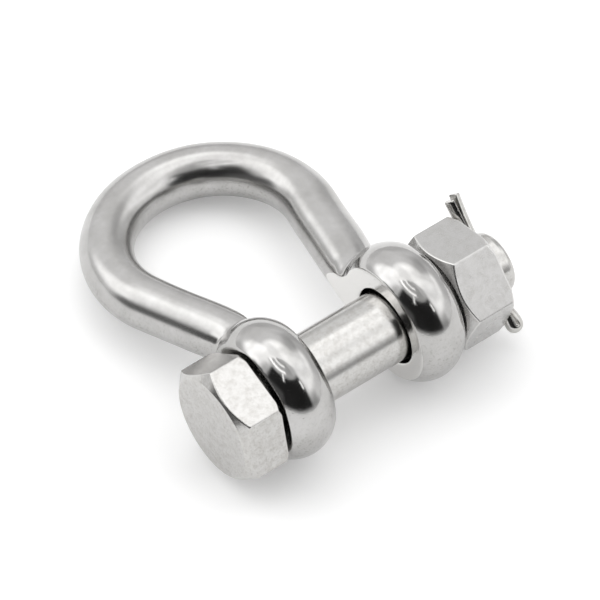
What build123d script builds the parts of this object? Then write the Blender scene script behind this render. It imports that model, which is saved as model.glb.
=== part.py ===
from build123d import *
from math import asin, cos, pi, radians, sin, sqrt
import os

os.makedirs("parts", exist_ok=True)

# Frame: the X axis is the bolt's axis, from the head towards the nut.
# The origin is halfway between the two eyes. The bow lies towards +Y and the table is below.

# Driving dimensions, in mm
bolt_diameter = 8.0
rod_diameter = 6.0
jaw_gap = 11.1
inside_length = 27.3
inside_width = 16.9

# Eyes: rounded discs with a loose bore. The bore sits a little off the middle of the disc,
# and the cutter that faced the jaw ran out into the roots of the legs.
eye_width = 5.9
eye_diameter = 15.7
eye_rim_radius = 3.9
eye_offset = 0.3
bore_diameter = 8.8
jaw_cutter_diameter = 24.0

# Legs: straight, open towards the crown, bent back parallel where they enter the eyes
leg_angle = 16.06
root_x = 7.35
root_y = 5.0
root_bend_radius = 12.0

# Hexagon head and nut
head_across_flats = 12.2
head_height = 5.0
head_clearance = 0.45
head_corner_angle = 11.8
head_face_radius = 5.75
head_back_radius = 6.6
nut_across_flats = 11.8
nut_height = 5.9
nut_clearance = 0.6
nut_corner_angle = -16.9
nut_inner_face_radius = 5.6
nut_outer_face_radius = 6.2
chamfer_slope = 0.8

# Thread, drawn as rings, and the plain drilled end of the bolt
thread_pitch = 0.75
thread_depth = 0.40
thread_clearance = 0.04
bolt_end_radius = 3.5
bolt_end_x = 20.7
bolt_end_rounding = 0.8

# Split pin: two half-round legs folded back from a narrow loop
split_pin_x = 18.88
split_pin_tilt = 45.0
leg_radius = 0.8
leg_half_gap = 0.02
pin_hole_radius = 0.95
loop_end = 7.1
loop_half_gap = 0.2
loop_shift = 0.35
split_start = 4.3
near_leg_end = 8.1
far_leg_end = 8.5
near_leg_spread = 0.05
far_leg_spread = 0.25

# Sizes that follow from the ones above
bolt_radius = bolt_diameter / 2
rod_radius = rod_diameter / 2
eye_radius = eye_diameter / 2
eye_inner_x = jaw_gap / 2
eye_outer_x = eye_inner_x + eye_width
crown_radius = inside_width / 2 + rod_radius
crown_y = inside_length + bolt_radius - eye_offset + rod_radius
bow_tilt = asin((eye_radius - rod_radius) / crown_y)
head_back_x = -(eye_outer_x + head_clearance)
head_front_x = head_back_x - head_height
nut_inner_x = eye_outer_x + nut_clearance
nut_outer_x = nut_inner_x + nut_height
thread_root_radius = bolt_radius - thread_depth

# The bow's own plane holds the crown and both legs. It leans down so that the crown
# and the eyes rest on the same table.
bow_plane = Plane(
    origin=(0, eye_offset, 0),
    x_dir=(1, 0, 0),
    z_dir=(0, sin(bow_tilt), cos(bow_tilt)),
)
eye_axis = Axis((0, eye_offset, 0), (1, 0, 0))


# The outline of the eye's rim is one arc, cut off flat on both sides
def eye_profile(side):
    middle_x = side * (eye_inner_x + eye_width / 2)
    half_width = eye_width / 2
    rim_centre = eye_radius - eye_rim_radius
    face_radius = rim_centre + sqrt(eye_rim_radius**2 - half_width**2)
    with BuildSketch(bow_plane) as profile:
        with BuildLine():
            Polyline(
                (middle_x - half_width, face_radius),
                (middle_x - half_width, 0),
                (middle_x + half_width, 0),
                (middle_x + half_width, face_radius),
            )
            ThreePointArc(
                (middle_x + half_width, face_radius),
                (middle_x, eye_radius),
                (middle_x - half_width, face_radius),
            )
        make_face()
    return profile.sketch


# The rod's middle line on the +X side: an arc out of the eye, a straight leg along the
# tangent both arcs share, then half of the crown
lean = radians(leg_angle)
bend_x = root_x + root_bend_radius * (1 - cos(lean))
bend_y = root_y + root_bend_radius * sin(lean)
crown_centre_y = crown_y - crown_radius
tangent_x = crown_radius * cos(lean)
tangent_y = crown_centre_y - crown_radius * sin(lean)
half_bend = (
    root_x + root_bend_radius * (1 - cos(lean / 2)),
    root_y + root_bend_radius * sin(lean / 2),
)


def mirrored(point):
    return (-point[0], point[1])


# Bow: one forging made of the crown, two legs and two eyes
with BuildPart() as bow:
    with BuildLine(bow_plane) as middle_line:
        ThreePointArc((root_x, root_y), half_bend, (bend_x, bend_y))
        Line((bend_x, bend_y), (tangent_x, tangent_y))
        ThreePointArc(
            (tangent_x, tangent_y),
            (0, crown_y),
            (-tangent_x, tangent_y),
        )
        Line((-tangent_x, tangent_y), (-bend_x, bend_y))
        ThreePointArc((-bend_x, bend_y), mirrored(half_bend), (-root_x, root_y))
    rod_plane = Plane(origin=middle_line.line @ 0, z_dir=middle_line.line % 0)
    with BuildSketch(rod_plane):
        Circle(rod_radius)
    sweep(path=middle_line.line)
    for side in (1, -1):
        revolve(eye_profile(side), axis=eye_axis)
    for side in (1, -1):
        with BuildSketch(Plane.YZ):
            Circle(jaw_cutter_diameter / 2)
        extrude(amount=side * eye_inner_x, mode=Mode.SUBTRACT)
    with BuildSketch(Plane.YZ.offset(-eye_outer_x - 1)):
        Circle(bore_diameter / 2)
    extrude(amount=2 * eye_outer_x + 2, mode=Mode.SUBTRACT)
bow.part.label = "bow"
export_step(bow.part, "parts/bow.step")


# A corner of the hexagon stands at the given angle from +Z towards +Y. Both faces are
# turned off to a circle, so each flat ends in a curve.
def hexagon(start_x, height, across_flats, corner_angle, first_radius, last_radius):
    corner_radius = across_flats / sqrt(3)
    reach = corner_radius + 1
    first_cone = (reach - first_radius) * chamfer_slope
    last_cone = (reach - last_radius) * chamfer_slope
    with BuildPart() as body:
        with BuildSketch(Plane.YZ.offset(start_x)):
            RegularPolygon(corner_radius, 6, rotation=90 - corner_angle)
        extrude(amount=height)
        with BuildSketch(Plane.XY) as turning:
            with BuildLine():
                Polyline(
                    (start_x, 0),
                    (start_x, first_radius),
                    (start_x + first_cone, reach),
                    (start_x + height - last_cone, reach),
                    (start_x + height, last_radius),
                    (start_x + height, 0),
                    close=True,
                )
            make_face()
        revolve(axis=Axis.X, mode=Mode.INTERSECT)
    return body.part


# Ring thread from start to end: the outline steps between crest and root once per pitch
def thread_outline(start, end, crest, root):
    count = int((end - start) / thread_pitch)
    first = end - count * thread_pitch
    points = []
    for turn in range(count):
        left = first + turn * thread_pitch
        points.append((left + thread_pitch * 0.06, crest))
        points.append((left + thread_pitch * 0.44, root))
        points.append((left + thread_pitch * 0.56, root))
        points.append((left + thread_pitch * 0.94, crest))
    return points


# Bolt: hexagon head, plain shank, thread and a plain drilled end
with BuildPart() as bolt:
    add(
        hexagon(
            head_front_x,
            head_height,
            head_across_flats,
            head_corner_angle,
            head_face_radius,
            head_back_radius,
        )
    )
    with BuildSketch(Plane.XY):
        with BuildLine():
            Polyline(
                (head_back_x - 1, 0),
                (head_back_x - 1, bolt_radius),
                (eye_outer_x, bolt_radius),
                *thread_outline(eye_outer_x, nut_outer_x, bolt_radius, thread_root_radius),
                (nut_outer_x, bolt_end_radius),
                (bolt_end_x - bolt_end_rounding, bolt_end_radius),
            )
            RadiusArc(
                (bolt_end_x - bolt_end_rounding, bolt_end_radius),
                (bolt_end_x, bolt_end_radius - bolt_end_rounding),
                bolt_end_rounding,
            )
            Polyline(
                (bolt_end_x, bolt_end_radius - bolt_end_rounding),
                (bolt_end_x, 0),
                (head_back_x - 1, 0),
            )
        make_face()
    revolve(axis=Axis.X)
    with BuildSketch(
        Plane(
            origin=(split_pin_x, 0, 0),
            x_dir=(1, 0, 0),
            z_dir=(0, sin(radians(split_pin_tilt)), cos(radians(split_pin_tilt))),
        )
    ):
        Circle(pin_hole_radius)
    extrude(amount=bolt_radius, both=True, mode=Mode.SUBTRACT)
bolt.part.label = "bolt"
export_step(bolt.part, "parts/bolt.step")


# Nut: plain hexagon with the matching thread
nut_thread_crest = bolt_radius + thread_clearance
nut_thread_root = thread_root_radius + thread_clearance
with BuildPart() as nut:
    add(
        hexagon(
            nut_inner_x,
            nut_height,
            nut_across_flats,
            nut_corner_angle,
            nut_inner_face_radius,
            nut_outer_face_radius,
        )
    )
    with BuildSketch(Plane.XY):
        with BuildLine():
            Polyline(
                (eye_outer_x, 0),
                (eye_outer_x, nut_thread_crest),
                *thread_outline(eye_outer_x, nut_outer_x, nut_thread_crest, nut_thread_root),
                (nut_outer_x, nut_thread_crest),
                (nut_outer_x + 1, nut_thread_crest + 1),
                (nut_outer_x + 1, 0),
                close=True,
            )
        make_face()
    revolve(axis=Axis.X, mode=Mode.SUBTRACT)
nut.part.label = "nut"
export_step(nut.part, "parts/nut.step")


# Split pin: two half-round legs face each other with their flat sides. Along the pin,
# each flat side stands off the hole's axis by this much: the loop is wide and bent a
# little away from the nut, the legs are nearly closed in the hole and spread at the tips.
loop_centre = loop_end - loop_half_gap


def leg_end(side):
    return far_leg_end if side > 0 else near_leg_end


def flat_offset(side, along):
    if along < -split_start:
        share = (1 - cos(pi * (-split_start - along) / (loop_centre - split_start))) / 2
        gap = leg_half_gap + (loop_half_gap - leg_half_gap) * share
        return side * gap + loop_shift * share
    if along > split_start:
        share = (along - split_start) / (leg_end(side) - split_start)
        spread = far_leg_spread if side > 0 else near_leg_spread
        return side * (leg_half_gap + spread * share**2)
    return side * leg_half_gap


def split_pin_plane(along):
    direction = Vector(0, sin(radians(split_pin_tilt)), cos(radians(split_pin_tilt)))
    return Plane(
        origin=Vector(split_pin_x, 0, 0) + direction * along,
        x_dir=(1, 0, 0),
        z_dir=direction,
    )


def leg_section(side, along):
    with BuildSketch(split_pin_plane(along)) as section:
        with Locations((flat_offset(side, along), 0)):
            Circle(leg_radius)
            with Locations((-side * leg_radius, 0)):
                Rectangle(2 * leg_radius, 3 * leg_radius, mode=Mode.SUBTRACT)
    return section.sketch


# Evenly spaced stations from start to end, both included
def between(start, end, count):
    return [start + (end - start) * step / count for step in range(count + 1)]


with BuildPart() as cotter_pin:
    for side in (1, -1):
        loft(sections=[leg_section(side, at) for at in between(-loop_centre, -split_start, 6)])
        loft(sections=[leg_section(side, at) for at in between(-split_start, split_start, 1)])
        loft(sections=[leg_section(side, at) for at in between(split_start, leg_end(side), 4)])
    bend_plane = split_pin_plane(-loop_centre)
    bend_axis = Axis(bend_plane.origin + Vector(loop_shift, 0, 0), bend_plane.y_dir)
    revolve(leg_section(1, -loop_centre), axis=bend_axis, revolution_arc=180)
cotter_pin.part.label = "cotter_pin"
export_step(cotter_pin.part, "parts/cotter_pin.step")
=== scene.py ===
import bmesh
import bpy
import numpy as np
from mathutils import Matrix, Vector


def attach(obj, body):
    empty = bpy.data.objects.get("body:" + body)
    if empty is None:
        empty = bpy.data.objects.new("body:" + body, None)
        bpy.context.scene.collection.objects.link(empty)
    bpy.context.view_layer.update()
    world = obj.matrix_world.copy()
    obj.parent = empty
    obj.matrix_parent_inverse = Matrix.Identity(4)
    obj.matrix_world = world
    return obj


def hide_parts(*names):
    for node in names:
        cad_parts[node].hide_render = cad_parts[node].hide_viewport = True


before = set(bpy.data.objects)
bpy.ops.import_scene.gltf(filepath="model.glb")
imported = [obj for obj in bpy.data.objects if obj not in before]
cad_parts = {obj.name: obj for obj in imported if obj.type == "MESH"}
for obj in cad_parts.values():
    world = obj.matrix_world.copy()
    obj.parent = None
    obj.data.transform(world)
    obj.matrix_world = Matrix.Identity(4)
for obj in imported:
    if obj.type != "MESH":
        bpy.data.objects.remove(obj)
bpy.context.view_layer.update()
print("loaded the frame:", sorted(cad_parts))

scene = bpy.context.scene
mm = 0.001

# where the pieces meet, in mm, the same for every piece
layout = {
    "boltRadius": 4.0,
    "eyeShift": 0.3,
    "eyeInnerX": 5.55,
    "eyeOuterX": 11.45,
    "eyeRadius": 7.85,
    "threadPitch": 0.75,
    "threadDepth": 0.40,
    "threadSteps": (0.06, 0.44, 0.56, 0.94),
    "nutInnerX": 12.05,
    "nutOuterX": 17.95,
    "splitPinX": 18.88,
    "splitPinTilt": np.radians(45.0),
}


def linearColor(hexColor, alpha=1.0):
    # sRGB hex to linear: c/12.92 below 0.04045, ((c + 0.055) / 1.055)^2.4 above
    channels = [int(hexColor[i:i + 2], 16) / 255 for i in (1, 3, 5)]
    linear = [c / 12.92 if c <= 0.04045 else ((c + 0.055) / 1.055) ** 2.4 for c in channels]
    return (*linear, alpha)


def addNode(tree, kind, inputs=None, links=None, **settings):
    # settings go on the node, inputs are typed into its sockets, links come from other sockets
    node = tree.nodes.new(kind)
    for name, value in settings.items():
        setattr(node, name, value)
    for name, value in (inputs or {}).items():
        node.inputs[name].default_value = value
    for name, socket in (links or {}).items():
        tree.links.new(socket, node.inputs[name])
    return node


def softMin(a, b, width):
    # the smaller of the two, with the crossing rounded over the given width
    share = np.clip(0.5 + 0.5 * (b - a) / width, 0, 1)
    return b + (a - b) * share - width * share * (1 - share)


def softMax(a, b, width):
    return -softMin(-a, -b, width)


def buildMesh(name, points, faces, materials):
    mesh = bpy.data.meshes.new(name)
    mesh.vertices.add(len(points))
    mesh.vertices.foreach_set("co", (points * mm).astype(np.float32).ravel())
    mesh.loops.add(faces.size)
    mesh.loops.foreach_set("vertex_index", faces.astype(np.int32).ravel())
    mesh.polygons.add(len(faces))
    mesh.polygons.foreach_set("loop_start", np.arange(len(faces), dtype=np.int32) * 4)
    mesh.polygons.foreach_set("loop_total", np.full(len(faces), 4, dtype=np.int32))
    mesh.update(calc_edges=True)
    mesh.validate()
    for material in materials:
        mesh.materials.append(material)
    piece = bpy.data.objects.new(name, mesh)
    scene.collection.objects.link(piece)
    return piece


def gridFaces(rows, columns, closeRows=False):
    # one four-sided face between neighbouring points; columns always run round and close
    row = np.arange(rows if closeRows else rows - 1)[:, None]
    column = np.arange(columns)[None, :]
    nextRow = (row + 1) % rows
    nextColumn = (column + 1) % columns
    corners = (
        row * columns + column,
        nextRow * columns + column,
        nextRow * columns + nextColumn,
        row * columns + nextColumn,
    )
    return np.stack(np.broadcast_arrays(*corners), -1).reshape(-1, 4)


def sealMesh(piece, gap=1e-7):
    # poles and seams are merged, then every face is turned outwards
    work = bmesh.new()
    work.from_mesh(piece.data)
    bmesh.ops.remove_doubles(work, verts=work.verts, dist=gap)
    bmesh.ops.dissolve_degenerate(work, edges=work.edges, dist=gap)
    bmesh.ops.recalc_face_normals(work, faces=work.faces)
    work.to_mesh(piece.data)
    work.free()
    piece.data.shade_smooth()


def weighNormals(piece):
    # large flats keep their own direction, so only the small roundings shade as bends
    modifier = piece.modifiers.new("weighted normals", "WEIGHTED_NORMAL")
    modifier.mode = "FACE_AREA"
    modifier.weight = 100
    modifier.keep_sharp = True


def ride(piece, node):
    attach(piece, node)
    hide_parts(node)


# lengths in mm, angles in degrees; azimuth turns from -Y towards +X
cameraSetup = {
    "azimuth": -37.32,
    "elevation": 50.07,
    "distance": 469.8,
    "target": (0.73, 8.22, 0.0),
    "focalLength": 268.7,
    "sensorWidth": 36.0,
}


def makeCamera(setup):
    # the camera stands at distance from the target, along azimuth and elevation
    turn, lift = np.radians(setup["azimuth"]), np.radians(setup["elevation"])
    back = Vector((np.sin(turn) * np.cos(lift), -np.cos(turn) * np.cos(lift), np.sin(lift)))
    data = bpy.data.cameras.new("camera")
    data.sensor_width = setup["sensorWidth"]
    data.lens = setup["focalLength"]
    data.clip_start = 0.01
    camera = bpy.data.objects.new("camera", data)
    camera.location = (Vector(setup["target"]) + back * setup["distance"]) * mm
    camera.rotation_euler = (-back).to_track_quat("-Z", "Y").to_euler()
    scene.collection.objects.link(camera)
    scene.camera = camera


makeCamera(cameraSetup)
print("camera placed")


def newMaterial(name):
    material = bpy.data.materials.new(name)
    material.use_nodes = True
    tree = material.node_tree
    tree.nodes.clear()
    output = addNode(tree, "ShaderNodeOutputMaterial")
    shader = addNode(tree, "ShaderNodeBsdfPrincipled", {"Metallic": 1.0})
    tree.links.new(shader.outputs["BSDF"], output.inputs["Surface"])
    place = addNode(tree, "ShaderNodeTexCoord").outputs["Object"]
    return material, tree, shader, place


polishedSteel = {
    "light": "#bcbbba",
    "dull": "#abaaa8",
    "speck": "#77736d",
    # painted reflection: the paler colour of the flat jaw faces, for the floor they mirror
    "jawReflection": "#dddcda",
    "jawReflectionReach": 0.12,
    "jawReflectionWithin": 11.9,
    "eyeRoughness": 0.06,
    "rodRoughness": 0.17,
    "cloudRoughness": 0.10,
    "polishedWithin": 8.0,
    "satinBeyond": 13.0,
    "cloudSize": 4.0,
    "cloudFrom": 0.35,
    "cloudTo": 0.7,
    "patchFrom": 0.38,
    "patchTo": 0.60,
    "patchLeast": 0.35,
    "undersideFrom": 0.65,
    "undersideFull": -0.05,
    "undersideLeast": 0.05,
    "scaleFrom": 0.47,
    "scaleFull": 0.33,
    "scaleShare": 0.75,
    "peelSize": 0.9,
    "peelDepth": 0.004,
    "grainSize": 0.30,
    "grainDepth": 0.016,
    "pitSpacing": 0.7,
    "pitFloor": 0.04,
    "pitEdge": 0.16,
    "pitDepth": 0.02,
}


def electropolishedSteel(look):
    # Stainless steel, forged, tumbled and electropolished. The eyes are close to a mirror
    # and the rod is satin, both with a slight orange peel and cloudy patches a few mm
    # wide. The undersides, which polish last, keep the fine grain and pits of the forging.
    material, tree, shader, place = newMaterial("electropolishedSteel")
    cloud = addNode(tree, "ShaderNodeTexNoise",
                    {"Scale": 1 / (look["cloudSize"] * mm), "Detail": 4.0, "Roughness": 0.6},
                    {"Vector": place})
    tone = addNode(tree, "ShaderNodeValToRGB", links={"Fac": cloud.outputs["Fac"]})
    tone.color_ramp.elements[0].position = look["cloudFrom"]
    tone.color_ramp.elements[0].color = linearColor(look["light"])
    tone.color_ramp.elements[1].position = look["cloudTo"]
    tone.color_ramp.elements[1].color = linearColor(look["dull"])

    # roughness: smooth by the bolt's axis, satin past the root of the leg, plus the clouds
    flattened = addNode(tree, "ShaderNodeVectorMath", {1: (0, 1, 1)}, {0: place},
                        operation="MULTIPLY")
    fromAxis = addNode(tree, "ShaderNodeVectorMath", links={0: flattened.outputs["Vector"]},
                       operation="LENGTH")
    satin = addNode(tree, "ShaderNodeMapRange",
                    {"From Min": look["polishedWithin"] * mm, "From Max": look["satinBeyond"] * mm,
                     "To Min": look["eyeRoughness"], "To Max": look["rodRoughness"]},
                    {"Value": fromAxis.outputs["Value"]}, interpolation_type="SMOOTHSTEP")
    gloss = addNode(tree, "ShaderNodeMath", {1: look["cloudRoughness"]},
                    {0: cloud.outputs["Fac"], 2: satin.outputs["Result"]},
                    operation="MULTIPLY_ADD")
    tree.links.new(gloss.outputs["Value"], shader.inputs["Roughness"])

    peel = addNode(tree, "ShaderNodeTexNoise",
                   {"Scale": 1 / (look["peelSize"] * mm), "Detail": 2.0, "Roughness": 0.5},
                   {"Vector": place})
    waves = addNode(tree, "ShaderNodeBump",
                    {"Strength": 1.0, "Distance": look["peelDepth"] * mm},
                    {"Height": peel.outputs["Fac"]})
    facing = addNode(tree, "ShaderNodeSeparateXYZ", links={"Vector": addNode(
        tree, "ShaderNodeTexCoord").outputs["Normal"]})
    underside = addNode(tree, "ShaderNodeMapRange",
                        {"From Min": look["undersideFrom"], "From Max": look["undersideFull"],
                         "To Min": look["undersideLeast"], "To Max": 1.0},
                        {"Value": facing.outputs["Z"]}, interpolation_type="SMOOTHSTEP")
    grain = addNode(tree, "ShaderNodeTexNoise",
                    {"Scale": 1 / (look["grainSize"] * mm), "Detail": 5.0, "Roughness": 0.7},
                    {"Vector": place})
    skin = addNode(tree, "ShaderNodeBump", {"Distance": look["grainDepth"] * mm},
                   {"Height": grain.outputs["Fac"], "Normal": waves.outputs["Normal"],
                    "Strength": underside.outputs["Result"]})
    cells = addNode(tree, "ShaderNodeTexVoronoi",
                    {"Scale": 1 / (look["pitSpacing"] * mm), "Randomness": 1.0},
                    {"Vector": place})
    pits = addNode(tree, "ShaderNodeMapRange",
                   {"From Min": look["pitFloor"], "From Max": look["pitEdge"]},
                   {"Value": cells.outputs["Distance"]}, interpolation_type="SMOOTHSTEP")
    dents = addNode(tree, "ShaderNodeBump", {"Distance": look["pitDepth"] * mm},
                    {"Height": pits.outputs["Result"], "Normal": skin.outputs["Normal"],
                     "Strength": underside.outputs["Result"]})
    tree.links.new(dents.outputs["Normal"], shader.inputs["Normal"])

    # specks: the deepest grain of the undersides holds dark scale, in loose patches
    deep = addNode(tree, "ShaderNodeMapRange",
                   {"From Min": look["scaleFrom"], "From Max": look["scaleFull"],
                    "To Min": 0.0, "To Max": look["scaleShare"]},
                   {"Value": grain.outputs["Fac"]})
    patchy = addNode(tree, "ShaderNodeMapRange",
                     {"From Min": look["patchFrom"], "From Max": look["patchTo"],
                      "To Min": look["patchLeast"], "To Max": 1.0},
                     {"Value": cloud.outputs["Fac"]})
    shown = addNode(tree, "ShaderNodeMath", links={0: deep.outputs["Result"],
                                                   1: underside.outputs["Result"]},
                    operation="MULTIPLY")
    specks = addNode(tree, "ShaderNodeMath", links={0: shown.outputs["Value"],
                                                    1: patchy.outputs["Result"]},
                     operation="MULTIPLY")
    color = addNode(tree, "ShaderNodeMix", {7: linearColor(look["speck"])},
                    {0: specks.outputs["Value"], 6: tone.outputs["Color"]}, data_type="RGBA")

    # painted reflection: the flat jaw faces are painted paler than the polished skin, for the pale
    # floor they mirror
    across = addNode(tree, "ShaderNodeSeparateXYZ", links={"Vector": place})
    fromMiddle = addNode(tree, "ShaderNodeMath", links={0: across.outputs["X"]},
                         operation="ABSOLUTE")
    onFace = addNode(tree, "ShaderNodeMath",
                     {1: (layout["eyeInnerX"] + look["jawReflectionReach"]) * mm},
                     {0: fromMiddle.outputs["Value"]}, operation="LESS_THAN")
    byEye = addNode(tree, "ShaderNodeMath", {1: look["jawReflectionWithin"] * mm},
                    {0: fromAxis.outputs["Value"]}, operation="LESS_THAN")
    jawReflection = addNode(tree, "ShaderNodeMath", links={0: onFace.outputs["Value"],
                                                    1: byEye.outputs["Value"]},
                     operation="MULTIPLY")
    skinColor = addNode(tree, "ShaderNodeMix", {7: linearColor(look["jawReflection"])},
                        {0: jawReflection.outputs["Value"], 6: color.outputs[2]}, data_type="RGBA")
    tree.links.new(skinColor.outputs[2], shader.inputs["Base Color"])
    return material


# turned and tumbled bar: soft, slightly greasy reflections, long pale streaks on the shank
turnedLook = {
    "light": "#c1c0be",
    "dull": "#b3b1ae",
    "edgeHighlight": "#cac9c6",
    "speck": "#857f77",
    "speckShare": 0.4,
    "edgeHighlightShare": 0.35,
    "smoothest": 0.15,
    "roughest": 0.20,
    "streakWidth": 0.5,
    "streakLength": 16.0,
    "streakDepth": 0.006,
    "ringWidth": 0.30,
    "ringDepth": 0.006,
    "markSize": 0.8,
    "grainSize": 0.26,
    "grainDepth": 0.003,
}

# satin hexagon bar: even grey flats with hardly a reflection, and painted highlights as pale lines
# along the edges
satinLook = {
    "light": "#bcbbba",
    "dull": "#b5b4b2",
    "edgeHighlight": "#dad9d7",
    "speck": "#a09d99",
    "speckShare": 0.3,
    "edgeHighlightShare": 0.9,
    "smoothest": 0.24,
    "roughest": 0.28,
    "streakWidth": 0.5,
    "streakLength": 3.0,
    "streakDepth": 0.001,
    "ringWidth": 0.2,
    "ringDepth": 0.001,
    "markSize": 1.0,
    "grainSize": 0.22,
    "grainDepth": 0.0014,
}

# drawn wire: small hard glints along the wire and a faint dull mottling between them
wireLook = {
    "light": "#c3c2bf",
    "dull": "#aeaca8",
    "edgeHighlight": "#cfcdc8",
    "speck": "#8f8b85",
    "speckShare": 0.3,
    "edgeHighlightShare": 0.0,
    "smoothest": 0.12,
    "roughest": 0.20,
    "streakWidth": 0.15,
    "streakLength": 0.6,
    "streakDepth": 0.001,
    "ringWidth": 0.2,
    "ringDepth": 0.0,
    "markSize": 1.0,
    "grainSize": 0.2,
    "grainDepth": 0.001,
}


# what the three machined finishes share: where cloudy marks turn dull, how the specks gather
# on the undersides and how the gloss follows the marks
machining = {
    "dullFrom": 0.32,
    "lightFrom": 0.56,
    "undersideFrom": 0.7,
    "undersideFull": 0.1,
    "undersideLeast": 0.08,
    "speckFrom": 0.48,
    "speckFull": 0.34,
    "glossFrom": 0.35,
    "glossTo": 0.65,
}


def machinedSteel(name, look):
    # Stainless steel, machined and tumbled. The tool leaves fine rings round the bolt's
    # axis, drawing the bar leaves long soft streaks along it, and the tumbling leaves a
    # faint grain and cloudy marks a mm or two wide. The edges get a painted highlight, a paler
    # colour.
    material, tree, shader, place = newMaterial(name)
    stretched = addNode(tree, "ShaderNodeVectorMath",
                        {1: (look["streakWidth"] / look["streakLength"], 1, 1)}, {0: place},
                        operation="MULTIPLY")
    streaks = addNode(tree, "ShaderNodeTexNoise",
                      {"Scale": 1 / (look["streakWidth"] * mm), "Detail": 2.0, "Roughness": 0.5},
                      {"Vector": stretched.outputs["Vector"]})
    split = addNode(tree, "ShaderNodeSeparateXYZ", links={"Vector": place})
    flattened = addNode(tree, "ShaderNodeVectorMath", {1: (0, 1, 1)}, {0: place},
                        operation="MULTIPLY")
    radius = addNode(tree, "ShaderNodeVectorMath", links={0: flattened.outputs["Vector"]},
                     operation="LENGTH")
    profile = addNode(tree, "ShaderNodeCombineXYZ",
                      links={"X": split.outputs["X"], "Y": radius.outputs["Value"]})
    rings = addNode(tree, "ShaderNodeTexNoise",
                    {"Scale": 1 / (look["ringWidth"] * mm), "Detail": 3.0, "Roughness": 0.7},
                    {"Vector": profile.outputs["Vector"]})
    marks = addNode(tree, "ShaderNodeTexNoise",
                    {"Scale": 1 / (look["markSize"] * mm), "Detail": 5.0, "Roughness": 0.65},
                    {"Vector": place})
    grain = addNode(tree, "ShaderNodeTexNoise",
                    {"Scale": 1 / (look["grainSize"] * mm), "Detail": 4.0, "Roughness": 0.65},
                    {"Vector": place})
    tone = addNode(tree, "ShaderNodeValToRGB", links={"Fac": marks.outputs["Fac"]})
    tone.color_ramp.elements[0].position = machining["dullFrom"]
    tone.color_ramp.elements[0].color = linearColor(look["dull"])
    tone.color_ramp.elements[1].position = machining["lightFrom"]
    tone.color_ramp.elements[1].color = linearColor(look["light"])
    facing = addNode(tree, "ShaderNodeSeparateXYZ", links={"Vector": addNode(
        tree, "ShaderNodeTexCoord").outputs["Normal"]})
    underside = addNode(tree, "ShaderNodeMapRange",
                        {"From Min": machining["undersideFrom"],
                         "From Max": machining["undersideFull"],
                         "To Min": machining["undersideLeast"], "To Max": look["speckShare"]},
                        {"Value": facing.outputs["Z"]}, interpolation_type="SMOOTHSTEP")
    deep = addNode(tree, "ShaderNodeMapRange",
                   {"From Min": machining["speckFrom"], "From Max": machining["speckFull"]},
                   {"Value": grain.outputs["Fac"]})
    specks = addNode(tree, "ShaderNodeMath", links={0: deep.outputs["Result"],
                                                    1: underside.outputs["Result"]},
                     operation="MULTIPLY")
    speckled = addNode(tree, "ShaderNodeMix", {7: linearColor(look["speck"])},
                       {0: specks.outputs["Value"], 6: tone.outputs["Color"]},
                       data_type="RGBA")
    # painted highlight: a paler colour laid along the rounded edges
    highlighted = addNode(tree, "ShaderNodeMath", {1: look["edgeHighlightShare"]},
                     {0: addNode(tree, "ShaderNodeAttribute",
                                 attribute_name="edgeHighlightMask").outputs["Fac"]},
                     operation="MULTIPLY")
    color = addNode(tree, "ShaderNodeMix", {7: linearColor(look["edgeHighlight"])},
                    {0: highlighted.outputs["Value"], 6: speckled.outputs[2]}, data_type="RGBA")
    tree.links.new(color.outputs[2], shader.inputs["Base Color"])
    gloss = addNode(tree, "ShaderNodeMapRange",
                    {"From Min": machining["glossFrom"], "From Max": machining["glossTo"],
                     "To Min": look["roughest"], "To Max": look["smoothest"]},
                    {"Value": marks.outputs["Fac"]})
    tree.links.new(gloss.outputs["Result"], shader.inputs["Roughness"])
    drawn = addNode(tree, "ShaderNodeBump",
                    {"Strength": 1.0, "Distance": look["streakDepth"] * mm},
                    {"Height": streaks.outputs["Fac"]})
    endOn = addNode(tree, "ShaderNodeMath", links={0: facing.outputs["X"]},
                    operation="ABSOLUTE")
    cutRings = addNode(tree, "ShaderNodeBump", {"Distance": look["ringDepth"] * mm},
                       {"Height": rings.outputs["Fac"], "Normal": drawn.outputs["Normal"],
                        "Strength": endOn.outputs["Value"]})
    tumbled = addNode(tree, "ShaderNodeBump",
                      {"Strength": 1.0, "Distance": look["grainDepth"] * mm},
                      {"Height": grain.outputs["Fac"], "Normal": cutRings.outputs["Normal"]})
    tree.links.new(tumbled.outputs["Normal"], shader.inputs["Normal"])
    return material


# lengths in mm; along means from the eyes to the crown, in the plane of the bow
bowShape = {
    "rodRadius": 3.0,
    "crownRadius": 11.45,
    "crownCentreY": 22.55,
    "rootX": 7.35,
    "rootY": 5.0,
    "rootBend": 12.0,
    "rimRadius": 3.9,
    "boreRadius": 4.4,
    "jawCutRadius": 12.0,
    "outerCutRadius": 9.5,
    "blend": 0.8,
    "faceEdge": 0.16,
    "boreEdge": 0.3,
    "rootSkew": 0.45,
    "skewFrom": 6.0,
    "skewMost": 9.5,
    "skewEnd": 20.0,
    "neckDrop": 0.4,
    "neckEnd": 12.5,
    "waveDepth": 0.03,
    "waveLength": 9.0,
    "step": 0.2,
    "margin": 0.5,
    "extraBelow": 0.1,
}
# the straight leg is the tangent that the crown and the root's arc share
rootAcross = bowShape["rootX"] + bowShape["rootBend"]
rootAlong = bowShape["crownCentreY"] - bowShape["rootY"]
bowShape["legAngle"] = (np.arctan2(rootAlong, rootAcross)
                        - np.arccos((bowShape["crownRadius"] + bowShape["rootBend"])
                                    / np.hypot(rootAcross, rootAlong)))
bowShape["tilt"] = np.arcsin((layout["eyeRadius"] - bowShape["rodRadius"])
                             / (bowShape["crownCentreY"] + bowShape["crownRadius"]))


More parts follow.
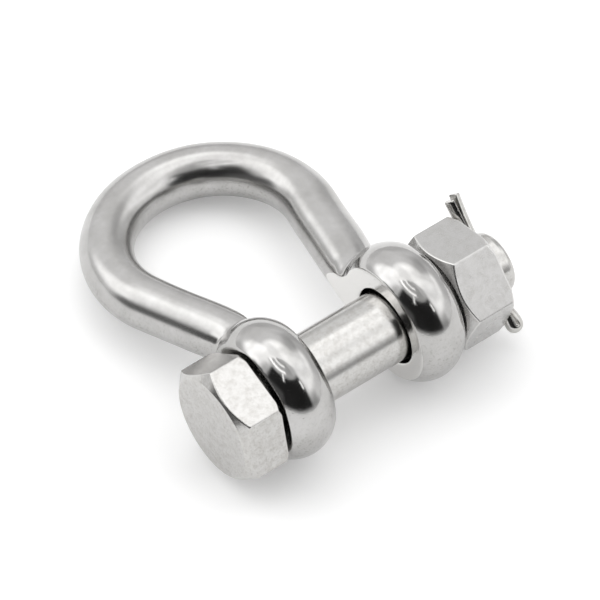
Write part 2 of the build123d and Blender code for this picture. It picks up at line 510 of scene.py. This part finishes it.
def bowField(points):
    # Distance to the bow's surface, below 0 inside. The rod is the distance to its middle
    # line less its radius, where the middle line is an arc out of the eye, a straight leg
    # and the crown's arc. Three sine waves leave it a little uneven. Both legs stand up
    # to rootSkew to one side between skewFrom and skewEnd, as a hand-bent rod does. In the
    # neck, next to the eye, the rod thins with the square of the distance, by up to
    # neckDrop. The eye is an arc-shaped rim cut flat on both sides. The two are joined with
    # a soft union, then the jaw faces, outer faces and bore are cut away.
    shape = bowShape
    tilt, lean = shape["tilt"], shape["legAngle"]
    y = points[..., 1] - layout["eyeShift"]
    z = points[..., 2]
    along = y * np.cos(tilt) - z * np.sin(tilt)
    above = y * np.sin(tilt) + z * np.cos(tilt)
    neck = np.clip((shape["neckEnd"] - along) / (shape["neckEnd"] - shape["rootY"]), 0, 1)
    neck = neck * neck
    rise = np.clip((along - shape["skewFrom"]) / (shape["skewMost"] - shape["skewFrom"]), 0, 1)
    fall = np.clip((shape["skewEnd"] - along) / (shape["skewEnd"] - shape["skewMost"]), 0, 1)
    skew = shape["rootSkew"] * (rise * fall) ** 2 * (3 - 2 * rise) * (3 - 2 * fall)
    x = np.abs(points[..., 0] - skew)
    fromCrown = along - shape["crownCentreY"]
    crown = np.abs(np.hypot(x, fromCrown) - shape["crownRadius"])
    bendX = shape["rootX"] + shape["rootBend"] * (1 - np.cos(lean))
    bendY = shape["rootY"] + shape["rootBend"] * np.sin(lean)
    leg = np.abs((x - bendX) * np.cos(lean) - (along - bendY) * np.sin(lean))
    root = np.abs(np.hypot(x - shape["rootX"] - shape["rootBend"], along - shape["rootY"])
                  - shape["rootBend"])
    root = np.where(along < shape["rootY"], np.abs(x - shape["rootX"]), root)
    onCrown = x * np.sin(lean) + fromCrown * np.cos(lean) >= 0
    onLeg = (x - bendX) * np.sin(lean) + (along - bendY) * np.cos(lean) >= 0
    inPlane = np.where(onCrown, crown, np.where(onLeg, leg, root))
    turn = 2 * np.pi / shape["waveLength"]
    waves = (np.sin(turn * points[..., 0] + 1.3) + np.sin(turn * 1.2 * along + 0.4)
             + np.sin(turn * 0.9 * above + turn * 0.7 * along)) / 3
    rod = (np.hypot(inPlane, above) - shape["rodRadius"] + shape["neckDrop"] * neck
           + shape["waveDepth"] * (1 + waves))
    rod = np.maximum(rod, shape["rootY"] - 1 - along)

    x = np.abs(points[..., 0])
    radial = np.hypot(y, z)
    middle = (layout["eyeInnerX"] + layout["eyeOuterX"]) / 2
    halfWidth = (layout["eyeOuterX"] - layout["eyeInnerX"]) / 2
    rimCentre = layout["eyeRadius"] - shape["rimRadius"]
    rim = np.hypot(x - middle, np.maximum(radial - rimCentre, 0)) - shape["rimRadius"]
    eye = softMax(rim, np.abs(x - middle) - halfWidth, shape["faceEdge"])

    body = softMin(rod, eye, shape["blend"])
    fromBolt = np.hypot(points[..., 1], z)
    jawCut = np.maximum(x - layout["eyeInnerX"], fromBolt - shape["jawCutRadius"])
    outerCut = np.maximum(layout["eyeOuterX"] - x, fromBolt - shape["outerCutRadius"])
    body = softMax(body, -jawCut, shape["faceEdge"])
    body = softMax(body, -outerCut, shape["faceEdge"])
    return softMax(body, shape["boreRadius"] - fromBolt, shape["boreEdge"])


def slope(field, points, reach=0.002):
    # central differences along the three axes
    shifts = np.eye(3) * reach
    return np.stack([field(points + shift) - field(points - shift) for shift in shifts],
                    -1) / (2 * reach)


def surfaceOf(field, low, high, step, pulls=8, leastSlope=0.2):
    # One point in each grid cell that the surface crosses, pulled onto the surface along
    # the field's slope, and one face across each grid edge that changes side.
    axes = [np.arange(a, b, step) for a, b in zip(low, high)]
    inside = field(np.stack(np.meshgrid(*axes, indexing="ij"), -1)) < 0
    count = sum(
        inside[i:inside.shape[0] - 1 + i, j:inside.shape[1] - 1 + j,
               k:inside.shape[2] - 1 + k].astype(np.int8)
        for i in (0, 1) for j in (0, 1) for k in (0, 1)
    )
    crossed = (count > 0) & (count < 8)
    index = np.full(crossed.shape, -1)
    index[crossed] = np.arange(crossed.sum())
    points = np.array(low) + (np.argwhere(crossed) + 0.5) * step
    for _ in range(pulls):
        gradient = slope(field, points)
        length = (gradient ** 2).sum(-1, keepdims=True)
        points = points - field(points)[:, None] * gradient / np.maximum(length, leastSlope)
    faces = []
    for turn in ((0, 1, 2), (1, 2, 0), (2, 0, 1)):
        side = inside.transpose(turn)
        cell = index.transpose(turn)
        i, j, k = np.nonzero(side[:-1, 1:-1, 1:-1] != side[1:, 1:-1, 1:-1])
        j, k = j + 1, k + 1
        quads = np.stack((cell[i, j - 1, k - 1], cell[i, j, k - 1], cell[i, j, k],
                          cell[i, j - 1, k]), -1)
        leaving = side[i, j, k]
        faces.append(np.where(leaving[:, None], quads, quads[:, ::-1]))
    return points, np.concatenate(faces)


def makeBow():
    # the grid's box is a margin larger than the bow, and a little deeper below it
    reachX = bowShape["crownRadius"] + bowShape["rodRadius"] + bowShape["margin"]
    reachY = bowShape["crownCentreY"] + reachX
    eye = layout["eyeRadius"] + bowShape["margin"]
    points, faces = surfaceOf(bowField, (-reachX, -eye, -eye - bowShape["extraBelow"]),
                              (reachX, reachY, eye), bowShape["step"])
    piece = buildMesh("bow_forging", points, faces, [electropolishedSteel(polishedSteel)])
    piece.data.shade_smooth()
    normals = slope(bowField, points)
    normals /= np.linalg.norm(normals, axis=-1, keepdims=True)
    piece.data.normals_split_custom_set_from_vertices(normals)
    ride(piece, "bow")
    print("bow:", len(points), "points")


makeBow()


# how the edges of the turned pieces are broken
edgeStyle = {
    "steps": 4,
    "mostOfSide": 0.3,
    "guard": 1.6,
    # how the painted edge highlight fades from the middle of each rounding
    "highlightFade": 0.6,
    "cornerCrowding": 1.9,
    "sharpAngle": np.radians(50),
}


def hexagonRadius(angle, acrossFlats, cornerAngle, softness):
    # distance from the axis to the nearer of the two flats that meet at each corner:
    # (across flats / 2) / cos(angle from the flat's middle), rounded where they cross
    sixth = np.pi / 3
    fromCorner = (angle - cornerAngle + sixth / 2) % sixth - sixth / 2
    flat = acrossFlats / 2
    first = flat / np.cos(fromCorner - sixth / 2)
    second = flat / np.cos(fromCorner + sixth / 2)
    return softMin(first, second, softness)


def hexagonAngles(cornerAngle, perFlat=36):
    # stations round the axis, crowded towards the corners
    even = np.linspace(-1, 1, perFlat, endpoint=False)
    crowded = np.sign(even) * (1 - (1 - np.abs(even)) ** edgeStyle["cornerCrowding"])
    flats = cornerAngle + np.pi / 6 + np.arange(6)[:, None] * np.pi / 3
    return (flats + crowded[None, :] * np.pi / 6).ravel()


def softOutline(corners, rounding, closed):
    # corners is (corner, angle, 2) of x and radius. Each corner becomes a short curve that
    # starts and ends at the rounding's length along its two sides, with a guard point on
    # each side so that the rounding's shading stays beside it. The painted edge highlight is 1
    # in the middle of the curve and fades towards its ends.
    count = len(corners)
    most, guard = edgeStyle["mostOfSide"], edgeStyle["guard"]
    rows, edge = [], []
    for i in range(count):
        here = corners[i]
        if not closed and i in (0, count - 1):
            rows.append(here)
            edge.append(0.0)
            continue
        before = corners[i - 1] - here
        after = corners[(i + 1) % count] - here
        lengthBefore = np.linalg.norm(before, axis=-1, keepdims=True)
        lengthAfter = np.linalg.norm(after, axis=-1, keepdims=True)
        cutBefore = np.minimum(rounding[i], most * lengthBefore) / np.maximum(lengthBefore, 1e-9)
        cutAfter = np.minimum(rounding[i], most * lengthAfter) / np.maximum(lengthAfter, 1e-9)
        start, end = here + before * cutBefore, here + after * cutAfter
        rows.append(here + before * cutBefore * guard)
        edge.append(0.0)
        for share in np.linspace(0, 1, edgeStyle["steps"]):
            rows.append(start * (1 - share) ** 2 + here * 2 * share * (1 - share)
                        + end * share ** 2)
            edge.append(1.0 - abs(2 * share - 1) * edgeStyle["highlightFade"])
        rows.append(here + after * cutAfter * guard)
        edge.append(0.0)
    return np.stack(rows), np.array(edge)


def turnedPiece(name, corners, rounding, angles, closed, materials):
    # the outline of each station is carried round the X axis:
    # y = radius * sin(angle), z = radius * cos(angle)
    outline, edge = softOutline(corners, rounding, closed)
    x, radius = outline[..., 0], outline[..., 1]
    points = np.stack((x, radius * np.sin(angles), radius * np.cos(angles)), -1)
    faces = gridFaces(len(points), len(angles), closed)
    piece = buildMesh(name, points.reshape(-1, 3), faces, materials)
    # each outline point carries its share of the painted edge highlight
    edgeHighlight = piece.data.attributes.new("edgeHighlightMask", "FLOAT", "POINT")
    edgeHighlight.data.foreach_set("value", np.repeat(edge, len(angles)).astype(np.float32))
    sealMesh(piece)
    return piece


def threadRings(start, end, crest, root):
    # crest, flank, root, flank: the outline steps down and up once per pitch
    pitch = layout["threadPitch"]
    count = int((end - start) / pitch)
    first = end - count * pitch + np.arange(count)[:, None] * pitch
    x = (first + np.array(layout["threadSteps"]) * pitch).ravel()
    radius = np.tile([crest, root, root, crest], count)
    return list(zip(x, radius))


def hexagonSide(angles, start, height, size, firstFace, lastFace, chamfer):
    # the three outer sides of a chamfered hexagon: cone, flat, cone
    reach = hexagonRadius(angles, size["acrossFlats"], size["cornerAngle"],
                          size["cornerSoftness"])
    first = np.minimum(firstFace, reach - size["leastChamfer"])
    last = np.minimum(lastFace, reach - size["leastChamfer"])
    end = start + height
    return [
        (start, first),
        (start + (reach - first) * chamfer, reach),
        (end - (reach - last) * chamfer, reach),
        (end, last),
    ]


def asRows(pairs, angles):
    # each (x, radius) pair of the outline becomes one row with a value for every angle
    shape = np.ones_like(angles)
    return np.stack([np.stack((x * shape, r * shape), -1) for x, r in pairs])


boltShape = {
    "acrossFlats": 12.2,
    "cornerAngle": np.radians(11.8),
    "cornerSoftness": 0.12,
    "headHeight": 5.0,
    "headGap": 0.45,
    "faceRadius": 5.75,
    "backRadius": 6.6,
    "chamfer": 0.8,
    "leastChamfer": 0.08,
    "edgeRounding": 0.12,
    "shankRounding": 0.25,
    "threadRounding": 0.03,
    "stepRounding": 0.1,
    "endRadius": 3.5,
    "endX": 20.7,
    "endRounding": 0.8,
    "endArcPoints": 6,
    "endArcRounding": 0.05,
    "holeRadius": 0.95,
    "drillReach": 6.0,
    "drillSides": 48,
}


def drillHole(piece, radius, centreX, tilt, depth, sides):
    # a round cutter across the axis, taken out with an exact Boolean
    angles = np.linspace(0, 2 * np.pi, sides, endpoint=False)
    direction = np.array((0, np.sin(tilt), np.cos(tilt)))
    sideways = np.array((0, np.cos(tilt), -np.sin(tilt)))
    centre = np.array((centreX, 0, 0))
    ring = (np.cos(angles)[:, None] * np.array((1.0, 0, 0))
            + np.sin(angles)[:, None] * sideways) * radius + centre
    pole = ring * 0 + centre
    points = np.stack([pole - direction * depth, ring - direction * depth,
                       ring + direction * depth, pole + direction * depth])
    cutter = buildMesh("cutter", points.reshape(-1, 3), gridFaces(len(points), sides), [])
    sealMesh(cutter)
    cut = piece.modifiers.new("hole", "BOOLEAN")
    cut.operation = "DIFFERENCE"
    cut.solver = "EXACT"
    cut.object = cutter
    view = bpy.context.evaluated_depsgraph_get()
    result = bpy.data.meshes.new_from_object(piece.evaluated_get(view))
    piece.modifiers.remove(cut)
    old, piece.data = piece.data, result
    bpy.data.meshes.remove(old)
    bpy.data.objects.remove(cutter)


def makeBolt():
    shape = boltShape
    angles = hexagonAngles(shape["cornerAngle"])
    back = -(layout["eyeOuterX"] + shape["headGap"])
    front = back - shape["headHeight"]
    shank = layout["boltRadius"]
    rings = threadRings(layout["eyeOuterX"], layout["nutOuterX"], shank,
                        shank - layout["threadDepth"])
    endArc = [(shape["endX"] - shape["endRounding"] * (1 - np.sin(t)),
               shape["endRadius"] - shape["endRounding"] * (1 - np.cos(t)))
              for t in np.linspace(0, np.pi / 2, shape["endArcPoints"])]
    head = hexagonSide(angles, front, shape["headHeight"], shape, shape["faceRadius"],
                       shape["backRadius"], shape["chamfer"])
    pairs = ([(front, 0)] + head + [(back, shank)] + rings
             + [(layout["nutOuterX"], shape["endRadius"])] + endArc + [(shape["endX"], 0)])
    rounding = ([0] + [shape["edgeRounding"]] * len(head) + [shape["shankRounding"]]
                + [shape["threadRounding"]] * len(rings) + [shape["stepRounding"]]
                + [shape["endArcRounding"]] * len(endArc) + [0])
    material = machinedSteel("turnedSteel", turnedLook)
    piece = turnedPiece("bolt_turned", asRows(pairs, angles), rounding, angles, False, [material])
    drillHole(piece, shape["holeRadius"], layout["splitPinX"], layout["splitPinTilt"],
              shape["drillReach"], shape["drillSides"])
    piece.data.shade_smooth()
    piece.data.set_sharp_from_angle(angle=edgeStyle["sharpAngle"])
    weighNormals(piece)
    ride(piece, "bolt")
    print("bolt:", len(piece.data.vertices), "points")


makeBolt()


nutShape = {
    "acrossFlats": 11.8,
    "cornerAngle": np.radians(-16.9),
    "cornerSoftness": 0.12,
    "innerFaceRadius": 5.6,
    "outerFaceRadius": 6.2,
    "chamfer": 0.8,
    "leastChamfer": 0.08,
    "edgeRounding": 0.1,
    "mouthDepth": 0.3,
    "mouthRounding": 0.1,
    "threadInset": 0.1,
    "threadRounding": 0.03,
    "threadClearance": 0.04,
}


def makeNut():
    shape = nutShape
    angles = hexagonAngles(shape["cornerAngle"])
    start, end = layout["nutInnerX"], layout["nutOuterX"]
    crest = layout["boltRadius"] + shape["threadClearance"]
    root = crest - layout["threadDepth"]
    side = hexagonSide(angles, start, end - start, shape, shape["innerFaceRadius"],
                       shape["outerFaceRadius"], shape["chamfer"])
    inset, mouth = shape["threadInset"], crest + shape["mouthDepth"]
    rings = threadRings(start + inset, end - inset, crest, root)[::-1]
    pairs = side + [(end, mouth)] + rings + [(start, mouth)]
    rounding = ([shape["edgeRounding"]] * len(side) + [shape["mouthRounding"]]
                + [shape["threadRounding"]] * len(rings) + [shape["mouthRounding"]])
    material = machinedSteel("satinSteel", satinLook)
    piece = turnedPiece("nut_plain", asRows(pairs, angles), rounding, angles, True, [material])
    piece.data.set_sharp_from_angle(angle=edgeStyle["sharpAngle"])
    weighNormals(piece)
    ride(piece, "nut")
    print("nut:", len(piece.data.vertices), "points")


makeNut()


# tips and the loop's end are measured along the pin from the bolt's axis
splitPinShape = {
    "legRadius": 0.8,
    "legGap": 0.02,
    "loopGap": 0.2,
    "loopEnd": 7.1,
    "loopShift": 0.35,
    "bendStart": 4.3,
    "nearTip": 8.1,
    "farTip": 8.5,
    "nearSpread": 0.05,
    "farSpread": 0.25,
    "edgeRounding": 0.08,
    "tipRounding": 0.1,
    "tipSize": 0.88,
    "tipCentre": 0.4,
    "sharpAngle": np.radians(40),
    "legPoints": 14,
    "holePoints": 8,
    "loopPoints": 17,
    "arcPoints": 21,
    "flatPoints": 9,
}


def splitPinLeg(side, tip, spread):
    # The flat side's distance from the hole's axis: a small gap in the hole, plus
    # spread * share^2 towards the tip. Towards the loop it grows to the loop's gap and
    # shift by (1 - cos(pi * share)) / 2.
    shape = splitPinShape
    bend, loopCentre = shape["bendStart"], shape["loopEnd"] - shape["loopGap"]
    along = np.concatenate((np.linspace(tip, bend, shape["legPoints"]),
                            np.linspace(bend, -bend, shape["holePoints"])[1:],
                            np.linspace(-bend, -loopCentre, shape["legPoints"])[1:]))
    opened = spread * np.clip((along - bend) / (tip - bend), 0, 1) ** 2
    swell = (1 - np.cos(np.pi * np.clip((-bend - along) / (loopCentre - bend), 0, 1))) / 2
    gap = shape["legGap"] + opened + (shape["loopGap"] - shape["legGap"]) * swell
    return np.stack((side * gap + shape["loopShift"] * swell, along), -1)


def makeSplitPin():
    # A half-round wire carried along a hairpin: tip, leg, loop, leg, tip. The flat side
    # always faces the inside of the hairpin, and each end is closed by smaller rings.
    shape = splitPinShape
    far = splitPinLeg(1, shape["farTip"], shape["farSpread"])
    near = splitPinLeg(-1, shape["nearTip"], shape["nearSpread"])[::-1]
    turn = np.linspace(0, -np.pi, shape["loopPoints"])[1:-1]
    loop = np.stack((shape["loopShift"] + shape["loopGap"] * np.cos(turn),
                     shape["loopGap"] - shape["loopEnd"] + shape["loopGap"] * np.sin(turn)), -1)
    path = np.concatenate((far, loop, near))
    heading = np.gradient(path, axis=0)
    heading /= np.linalg.norm(heading, axis=-1, keepdims=True)
    outward = np.stack((-heading[:, 1], heading[:, 0]), -1)

    # half-round profile (out, across): an arc closed by its flat, corners softened
    radius, soft = shape["legRadius"], shape["edgeRounding"]
    arc = np.linspace(-np.pi / 2, np.pi / 2, shape["arcPoints"])
    curve = np.stack((soft + (radius - soft) * np.cos(arc), radius * np.sin(arc)), -1)
    across = np.linspace(radius - soft, soft - radius, shape["flatPoints"])
    profile = np.concatenate((curve, np.stack((across * 0, across), -1)))
    centre = np.array((radius * shape["tipCentre"], 0.0))

    # stations along the path, with the two ends drawn in: row, size and step back
    last = len(path) - 1
    row = np.concatenate(([0, 0], np.arange(len(path)), [last, last]))
    size = np.ones(len(row))
    size[[0, -1]] = 0.0
    size[[1, -2]] = shape["tipSize"]
    stepBack = np.zeros(len(row))
    stepBack[2], stepBack[-3] = shape["tipRounding"], -shape["tipRounding"]
    shaped = centre + (profile - centre) * size[:, None, None]
    inPlane = ((path[row] + heading[row] * stepBack[:, None])[:, None, :]
               + shaped[..., :1] * outward[row][:, None, :])
    tilt = layout["splitPinTilt"]
    lengthwise = np.array((0, np.sin(tilt), np.cos(tilt)))
    sideways = np.array((0, np.cos(tilt), -np.sin(tilt)))
    points = (np.array((layout["splitPinX"], 0, 0)) + inPlane[..., :1] * np.array((1.0, 0, 0))
              + inPlane[..., 1:] * lengthwise + shaped[..., 1:] * sideways)
    piece = buildMesh("split_pin_wire", points.reshape(-1, 3),
                      gridFaces(len(row), len(profile)), [machinedSteel("drawnWire", wireLook)])
    sealMesh(piece)
    piece.data.set_sharp_from_angle(angle=shape["sharpAngle"])
    ride(piece, "cotter_pin")
    print("split pin:", points.size // 3, "points")


makeSplitPin()


studio = {
    "tableColor": "#f6f6f6",
    "tableRoughness": 0.9,
    "tableGlow": 0.24,
    "tableHalfWidth": 900.0,
    "walls": 0.95,
    "foldSize": 1.8,
    "foldBend": 0.6,
    "foldFrom": 0.35,
    "foldTo": 0.65,
    "foldDepth": 0.16,
}

# Parts of the light tent: middle (from +Y towards +X), half width, lowest and highest
# elevation and edge softness in degrees, then brightness. Later ones cover earlier ones.
tentPatches = [
    (35, 112, 54, 120, 9, 1.95),
    (-42, 24, 16, 70, 9, 2.0),
    (20, 38, -12, 30, 12, 0.95),
    (82, 24, -8, 36, 10, 0.72),
    (120, 36, 24, 66, 9, 1.65),
    (158, 14, 0, 18, 9, 0.50),
    (-140, 56, 3, 57, 5, 0.025),
    (-88, 32, 1, 25, 6, 0.13),
    (-120, 60, 58, 88, 6, 0.65),
    (-100, 42, 62, 66, 1.5, 2.6),
    (-100, 46, 74, 77, 1.5, 2.4),
    (-127, 1.5, 46, 60, 1.2, 3.0),
    (169, 1.5, 35, 48, 1.2, 2.5),
]


def makeTable():
    # Matt white paper, lit through from below a little: an even pale ground that shows
    # soft shadows and no reflection.
    low = -layout["eyeRadius"]
    half = studio["tableHalfWidth"]
    points = np.array([(-half, -half, low), (half, -half, low), (half, half, low),
                       (-half, half, low)])
    material, tree, shader, place = newMaterial("mattPaper")
    shader.inputs["Metallic"].default_value = 0.0
    shader.inputs["Base Color"].default_value = linearColor(studio["tableColor"])
    shader.inputs["Roughness"].default_value = studio["tableRoughness"]
    shader.inputs["Emission Color"].default_value = linearColor(studio["tableColor"])
    shader.inputs["Emission Strength"].default_value = studio["tableGlow"]
    table = buildMesh("table", points, np.array([[0, 1, 2, 3]]), [material])


def makeTent():
    # A white tent round the table, far enough away to be seen by direction only. Each patch
    # is a smooth window in heading times a smooth window in height, mixed over the last.
    world = bpy.data.worlds.new("lightTent")
    world.use_nodes = True
    scene.world = world
    tree = world.node_tree
    tree.nodes.clear()
    direction = addNode(tree, "ShaderNodeTexCoord").outputs["Generated"]
    rise = addNode(tree, "ShaderNodeSeparateXYZ", links={"Vector": direction}).outputs["Z"]
    flattened = addNode(tree, "ShaderNodeVectorMath", {1: (1, 1, 0)}, {0: direction},
                        operation="MULTIPLY")
    heading = addNode(tree, "ShaderNodeVectorMath", links={0: flattened.outputs["Vector"]},
                      operation="NORMALIZE").outputs["Vector"]
    folds = addNode(tree, "ShaderNodeTexNoise",
                    {"Scale": studio["foldSize"], "Detail": 0.0,
                     "Distortion": studio["foldBend"]},
                    {"Vector": direction})
    cloth = addNode(tree, "ShaderNodeMapRange",
                    {"From Min": studio["foldFrom"], "From Max": studio["foldTo"],
                     "To Min": 1 - studio["foldDepth"], "To Max": 1 + studio["foldDepth"]},
                    {"Value": folds.outputs["Fac"]})
    brightness = addNode(tree, "ShaderNodeValue").outputs["Value"]
    brightness.default_value = studio["walls"]
    for middle, halfWidth, low, high, soft, level in tentPatches:
        towards, spread, edge = np.radians(middle), np.radians(halfWidth), np.radians(soft)
        aim = addNode(tree, "ShaderNodeVectorMath", {1: (np.sin(towards), np.cos(towards), 0)},
                      {0: heading}, operation="DOT_PRODUCT")
        wide = addNode(tree, "ShaderNodeMapRange",
                       {"From Min": np.cos(spread + edge), "From Max": np.cos(spread - edge)},
                       {"Value": aim.outputs["Value"]}, interpolation_type="SMOOTHSTEP")
        bottom, top = np.radians(low), np.radians(high)
        above = addNode(tree, "ShaderNodeMapRange",
                        {"From Min": np.sin(bottom - edge), "From Max": np.sin(bottom + edge)},
                        {"Value": rise}, interpolation_type="SMOOTHSTEP")
        below = addNode(tree, "ShaderNodeMapRange",
                        {"From Min": np.sin(min(top + edge, np.pi / 2)) + (high > 90),
                         "From Max": np.sin(min(top - edge, np.pi / 2)) + (high > 90) * 0.5},
                        {"Value": rise}, interpolation_type="SMOOTHSTEP")
        tall = addNode(tree, "ShaderNodeMath", links={0: above.outputs["Result"],
                                                      1: below.outputs["Result"]},
                       operation="MULTIPLY")
        share = addNode(tree, "ShaderNodeMath", links={0: wide.outputs["Result"],
                                                       1: tall.outputs["Value"]},
                        operation="MULTIPLY")
        brightness = addNode(tree, "ShaderNodeMix", {"B": level},
                             {"Factor": share.outputs["Value"], "A": brightness}).outputs["Result"]
    lit = addNode(tree, "ShaderNodeMath", links={0: brightness, 1: cloth.outputs["Result"]},
                  operation="MULTIPLY")
    background = addNode(tree, "ShaderNodeBackground", {"Color": (1, 1, 1, 1)},
                         {"Strength": lit.outputs["Value"]})
    output = addNode(tree, "ShaderNodeOutputWorld")
    tree.links.new(background.outputs["Background"], output.inputs["Surface"])


makeTable()
makeTent()
scene.view_settings.view_transform = "Standard"
print("table and light set")
